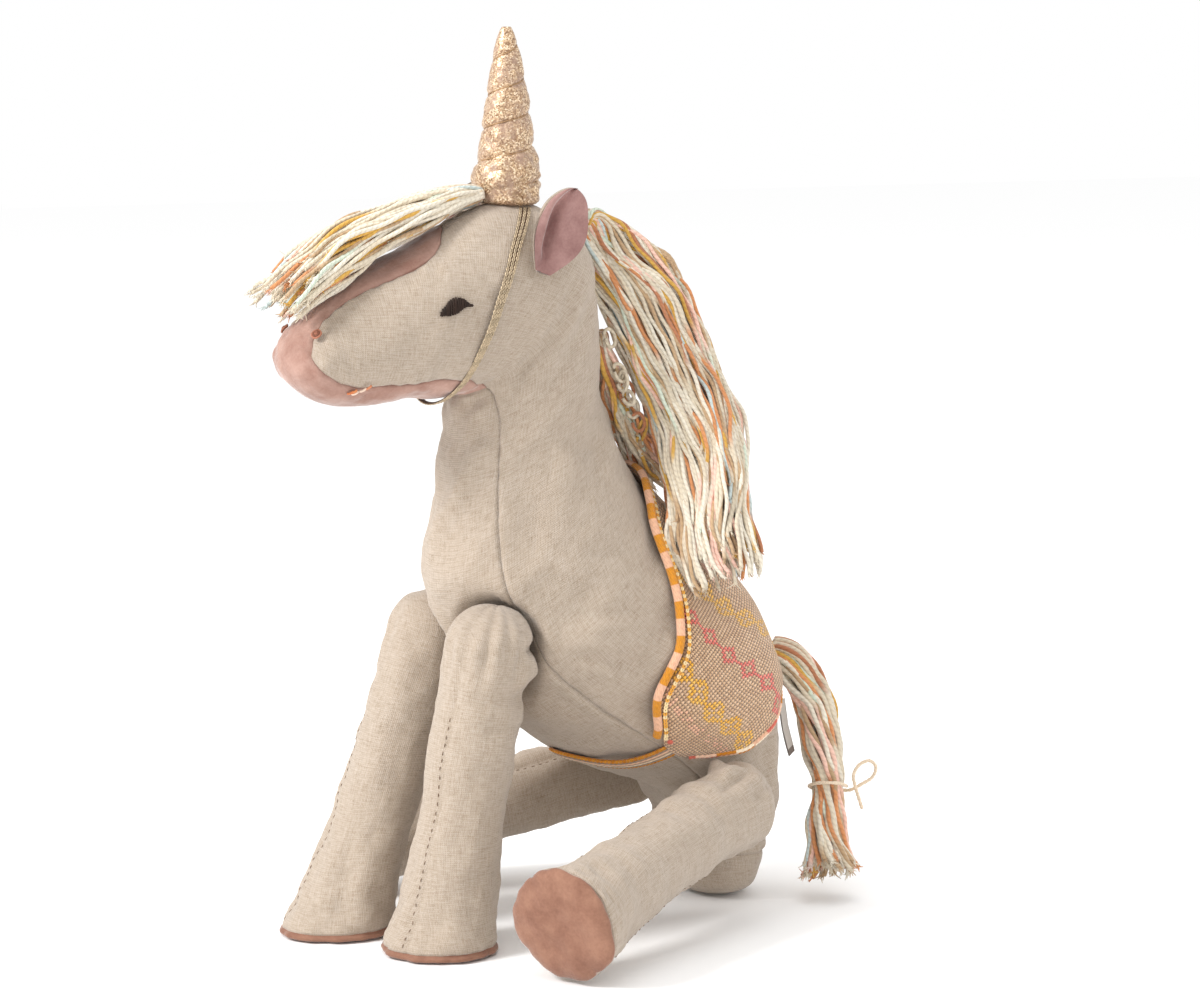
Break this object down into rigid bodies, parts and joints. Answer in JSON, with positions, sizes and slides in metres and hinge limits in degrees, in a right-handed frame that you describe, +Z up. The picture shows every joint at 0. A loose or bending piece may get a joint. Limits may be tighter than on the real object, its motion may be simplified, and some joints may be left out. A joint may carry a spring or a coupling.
{
  "type": "plush unicorn",
  "caption": "Sitting stuffed unicorn of linen with swinging legs, plush muzzle and soles, yarn mane and tail, soft horn on a chin band and a knitted saddle blanket.",
  "frame": {"origin": "centre of the flat seat under the rump, on the surface it sits on", "axes": "+Z up, -Y towards the nose, +X towards its left side"},
  "size_m": [0.2214, 0.2795, 0.382],
  "materials": {
    "linen": "soft",
    "blush_plush": "soft",
    "filling": "soft",
    "horn_fabric": "metallic thread",
    "metallic_yarn": "metallic thread",
    "yarn": "soft",
    "knit": "soft",
    "mustard_knit": "soft",
    "coral_yarn": "soft",
    "label_tape": "soft",
    "brown_thread": "soft",
    "copper_thread": "soft",
    "orange_thread": "soft"
  },
  "bodies": {
    "torso": {"side_panel_left": "linen", "side_panel_right": "linen", "muzzle_gusset": "blush_plush", "chest_gusset": "linen", "seat_panel": "linen", "body_stuffing": "filling", "chin_elastic": "metallic_yarn", "mane_loops": "yarn", "saddle_blanket": "knit", "blanket_front_roll": "mustard_knit", "blanket_edge_stitch": "coral_yarn", "girth_elastic": "mustard_knit", "left_eye": "brown_thread", "right_eye": "brown_thread", "nostril_knots": "copper_thread", "mouth_stitches": "orange_thread"},
    "front_left_leg": {"front_left_leg_cover": "linen", "front_left_leg_stuffing": "filling", "front_left_sole": "blush_plush"},
    "front_right_leg": {"front_right_leg_cover": "linen", "front_right_leg_stuffing": "filling", "front_right_sole": "blush_plush"},
    "hind_left_leg": {"hind_left_leg_cover": "linen", "hind_left_leg_stuffing": "filling", "hind_left_sole": "blush_plush"},
    "hind_right_leg": {"hind_right_leg_cover": "linen", "hind_right_leg_stuffing": "filling", "hind_right_sole": "blush_plush"},
    "left_ear": {"left_ear_outer": "linen", "left_ear_lining": "blush_plush"},
    "right_ear": {"right_ear_outer": "linen", "right_ear_lining": "blush_plush"},
    "horn": {"horn_cover": "horn_fabric", "horn_stuffing": "filling", "horn_base": "horn_fabric", "horn_thread": "metallic_yarn"},
    "mane": {"mane": "yarn"},
    "forelock": {"forelock": "yarn"},
    "tail": {"tail": "yarn", "tail_tie": "yarn"},
    "label": {"label": "label_tape"}
  },
  "joints": [
    {"name": "front_left_leg_swing", "type": "hinge", "parent": "torso", "child": "front_left_leg", "pos_m": [0.026, -0.127, 0.124], "axis": [-1, 0, 0], "range_deg": [-8, 70]},
    {"name": "front_right_leg_swing", "type": "hinge", "parent": "torso", "child": "front_right_leg", "pos_m": [-0.026, -0.127, 0.124], "axis": [-1, 0, 0], "range_deg": [-14, 60]},
    {"name": "hind_left_leg_swing", "type": "hinge", "parent": "torso", "child": "hind_left_leg", "pos_m": [0.046, -0.02, 0.05], "axis": [1, 0, 0], "range_deg": [-8, 90]},
    {"name": "hind_right_leg_swing", "type": "hinge", "parent": "torso", "child": "hind_right_leg", "pos_m": [-0.046, -0.02, 0.05], "axis": [1, 0, 0], "range_deg": [-8, 90]},
    {"name": "left_ear_fold", "type": "hinge", "parent": "torso", "child": "left_ear", "pos_m": [0.0315, -0.106, 0.281], "axis": [0, 1, 0], "range_deg": [-8, 35], "stiffness_Nm_per_rad": 0.02},
    {"name": "right_ear_fold", "type": "hinge", "parent": "torso", "child": "right_ear", "pos_m": [-0.0315, -0.106, 0.281], "axis": [0, -1, 0], "range_deg": [-8, 35], "stiffness_Nm_per_rad": 0.02},
    {"name": "horn_lift", "type": "slide", "parent": "torso", "child": "horn", "axis": [0, 0, 1], "range_m": [0, 0.02], "stiffness_N_per_m": 80, "springref_m": -0.01, "deforming": ["chin_elastic"]},
    {"name": "mane_swing", "type": "hinge", "parent": "torso", "child": "mane", "pos_m": [0, -0.065, 0.298], "axis": [1, 0, 0], "range_deg": [0, 55]},
    {"name": "forelock_lift", "type": "hinge", "parent": "torso", "child": "forelock", "pos_m": [0, -0.121, 0.312], "axis": [-1, 0, 0], "range_deg": [0, 30]},
    {"name": "tail_swing", "type": "hinge", "parent": "torso", "child": "tail", "pos_m": [0, 0.03, 0.107], "axis": [1, 0, 0], "range_deg": [0, 75]},
    {"name": "label_flap", "type": "hinge", "parent": "torso", "child": "label", "pos_m": [0.021, 0.022, 0.087], "axis": [0.7071, -0.7071, 0], "range_deg": [0, 70]}
  ]
}
